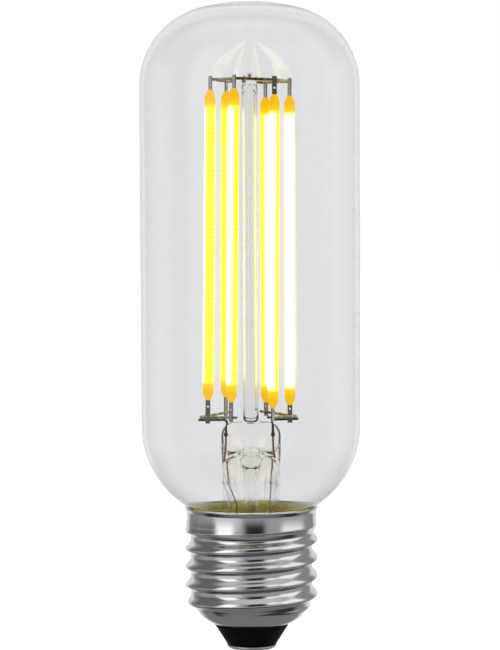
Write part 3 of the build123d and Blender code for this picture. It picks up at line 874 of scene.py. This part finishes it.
ring = [
    (narrow, cement_low.z),
    (narrow, step_foot),
    (wide, step_top),
    (wide, cement_high.z - edge_drop),
    (wide - edge_width, cement_high.z),
    (neck_face[-1][0], cement_high.z),
]
ring += neck_face[::-1] + [(neck_radius + clearance, cement_low.z)]
cement = piece("cement_ring", skinned(turned(ring), around=128, closed=True), sharp=40)
fitted(cement, "cap_cement", putty.material, "cap_cement")


# Studio. A pale floor under a white surround, with a softbox at each side. The
# surround's panels are seen only in reflections: they draw the cap's and glass's edges.
half_floor = 3
floor_corners = [
    (-half_floor, -half_floor, 0),
    (half_floor, -half_floor, 0),
    (half_floor, half_floor, 0),
    (-half_floor, half_floor, 0),
]
floor = piece("studio_floor", (floor_corners, [(0, 1, 2, 3)]))
paper = Finish("studio_paper")
paper_seen = paper.node("ShaderNodeLightPath", {}, {}, "Is Camera Ray")
paper.surface(
    Base_Color=(0.8, 0.8, 0.8, 1),
    Roughness=0.9,
    Emission_Color=paper.mixed(paper_seen, (0.0, 0.0, 0.0, 1), (1.0, 1.0, 1.0, 1)),
    Emission_Strength=0.62,
)
floor.data.materials.append(paper.material)
floor.visible_glossy = False
floor.visible_transmission = False

world = bpy.data.worlds.new("studio_surround")
world.use_nodes = True
world.cycles.sampling_method = "NONE"
bpy.context.scene.world = world
sky = Tree(world.node_tree)
sky_x, sky_y, sky_z = sky.split(sky.node("ShaderNodeTexCoord", {}, {}, "Generated"))
bearing = sky_x.maths("ARCTAN2", sky_y) * (180 / pi)
rise = sky_z.maths("ARCSINE") * (180 / pi)

# A panel's bearing from straight behind the lamp and its half width, the rise of its middle
# and its half height, all in degrees, then its brightness. Later panels lie over earlier ones,
# and one that crosses the camera's side, at 180 degrees, is there twice.
panels = [
    (0.0, 38.0, 30.0, 90.0, 0.8),
    (-55.0, 15.0, 0.0, 60.0, 0.3),
    (55.0, 15.0, 0.0, 60.0, 0.3),
    (-135.0, 26.0, -14.0, 18.0, 0.72),
    (-82.0, 32.0, 24.0, 26.0, 0.16),
    (-132.0, 16.0, 24.0, 25.0, 1.4),
    (101.0, 24.0, 24.0, 25.0, 1.15),
    (138.0, 14.0, 45.0, 20.0, 1.1),
    (174.0, 18.0, 24.0, 27.0, 0.02),
    (-186.0, 18.0, 24.0, 27.0, 0.02),
    (0.0, 400.0, 90.0, 35.0, 0.65),
    (0.0, 400.0, -90.0, 62.0, 0.22),
    (180.0, 110.0, -42.0, 12.0, 0.04),
    (-180.0, 110.0, -42.0, 12.0, 0.04),
]
half_edge = 6.5
ambient = 0.75
reflected = 0.4
for centre, half_width, height, half_height, brightness in panels:
    beside = (half_width - abs(bearing - centre)).between(-half_edge, half_edge)
    above = (half_height - abs(rise - height)).between(-half_edge, half_edge)
    reflected = reflected + (brightness - reflected) * (beside * above)
camera_ray, through_ray, mirrored, passed = [
    sky.node("ShaderNodeLightPath", {}, {}, name)
    for name in ("Is Camera Ray", "Is Transmission Ray", "Glossy Depth", "Transmission Depth")
]
# A reflection that has also passed through glass has a plain surround, dark on the camera's side.
behind_lamp = 0.9 - 0.84 * abs(bearing).between(55.0, 105.0)
above_floor = 0.45 + 0.55 * rise.between(-22.0, -9.0)
through_glass = behind_lamp * above_floor
reflected = reflected + (through_glass - reflected) * passed.maths("MINIMUM", 1.0)
direct = ambient + (1.0 - ambient) * camera_ray.maths("MAXIMUM", through_ray)
surround = direct + (reflected - direct) * mirrored.maths("MINIMUM", 1.0)
sky.feed(world.node_tree.nodes["Background"].inputs["Color"], surround)

# Each softbox's place and size in metres, and its power in watts.
softboxes = {
    "left_softbox": ((-0.55, -0.5, 0.55), 0.5, 5.0),
    "right_softbox": ((0.6, -0.15, 0.4), 0.4, 3.0),
}
lamp_middle = Vector((0, 0, lamp_top / 2 * mm))
for name, (spot, size, power) in softboxes.items():
    softbox = bpy.data.lights.new(name, "AREA")
    softbox.size = size
    softbox.energy = power
    holder = bpy.data.objects.new(name, softbox)
    holder.location = spot
    holder.rotation_euler = (lamp_middle - Vector(spot)).to_track_quat("-Z", "Y").to_euler()
    holder.visible_glossy = False
    holder.visible_transmission = False
    holder.visible_camera = False
    bpy.context.collection.objects.link(holder)

eye_distance = 0.52
eye_height = 0.0882
eye_dip = 2.6
eye_roll = 0.25
view = bpy.data.cameras.new("photo_view")
view.sensor_width = 36.0
view.lens = 145.0
eye = bpy.data.objects.new("photo_view", view)
eye.location = (0, -eye_distance, eye_height)
eye.rotation_euler = (radians(90 - eye_dip), radians(eye_roll), 0)
bpy.context.collection.objects.link(eye)
bpy.context.scene.camera = eye
bpy.context.scene.view_settings.view_transform = "Standard"
bpy.context.scene.cycles.max_bounces = 28
bpy.context.scene.cycles.transmission_bounces = 28
bpy.context.scene.cycles.blur_glossy = 0.0
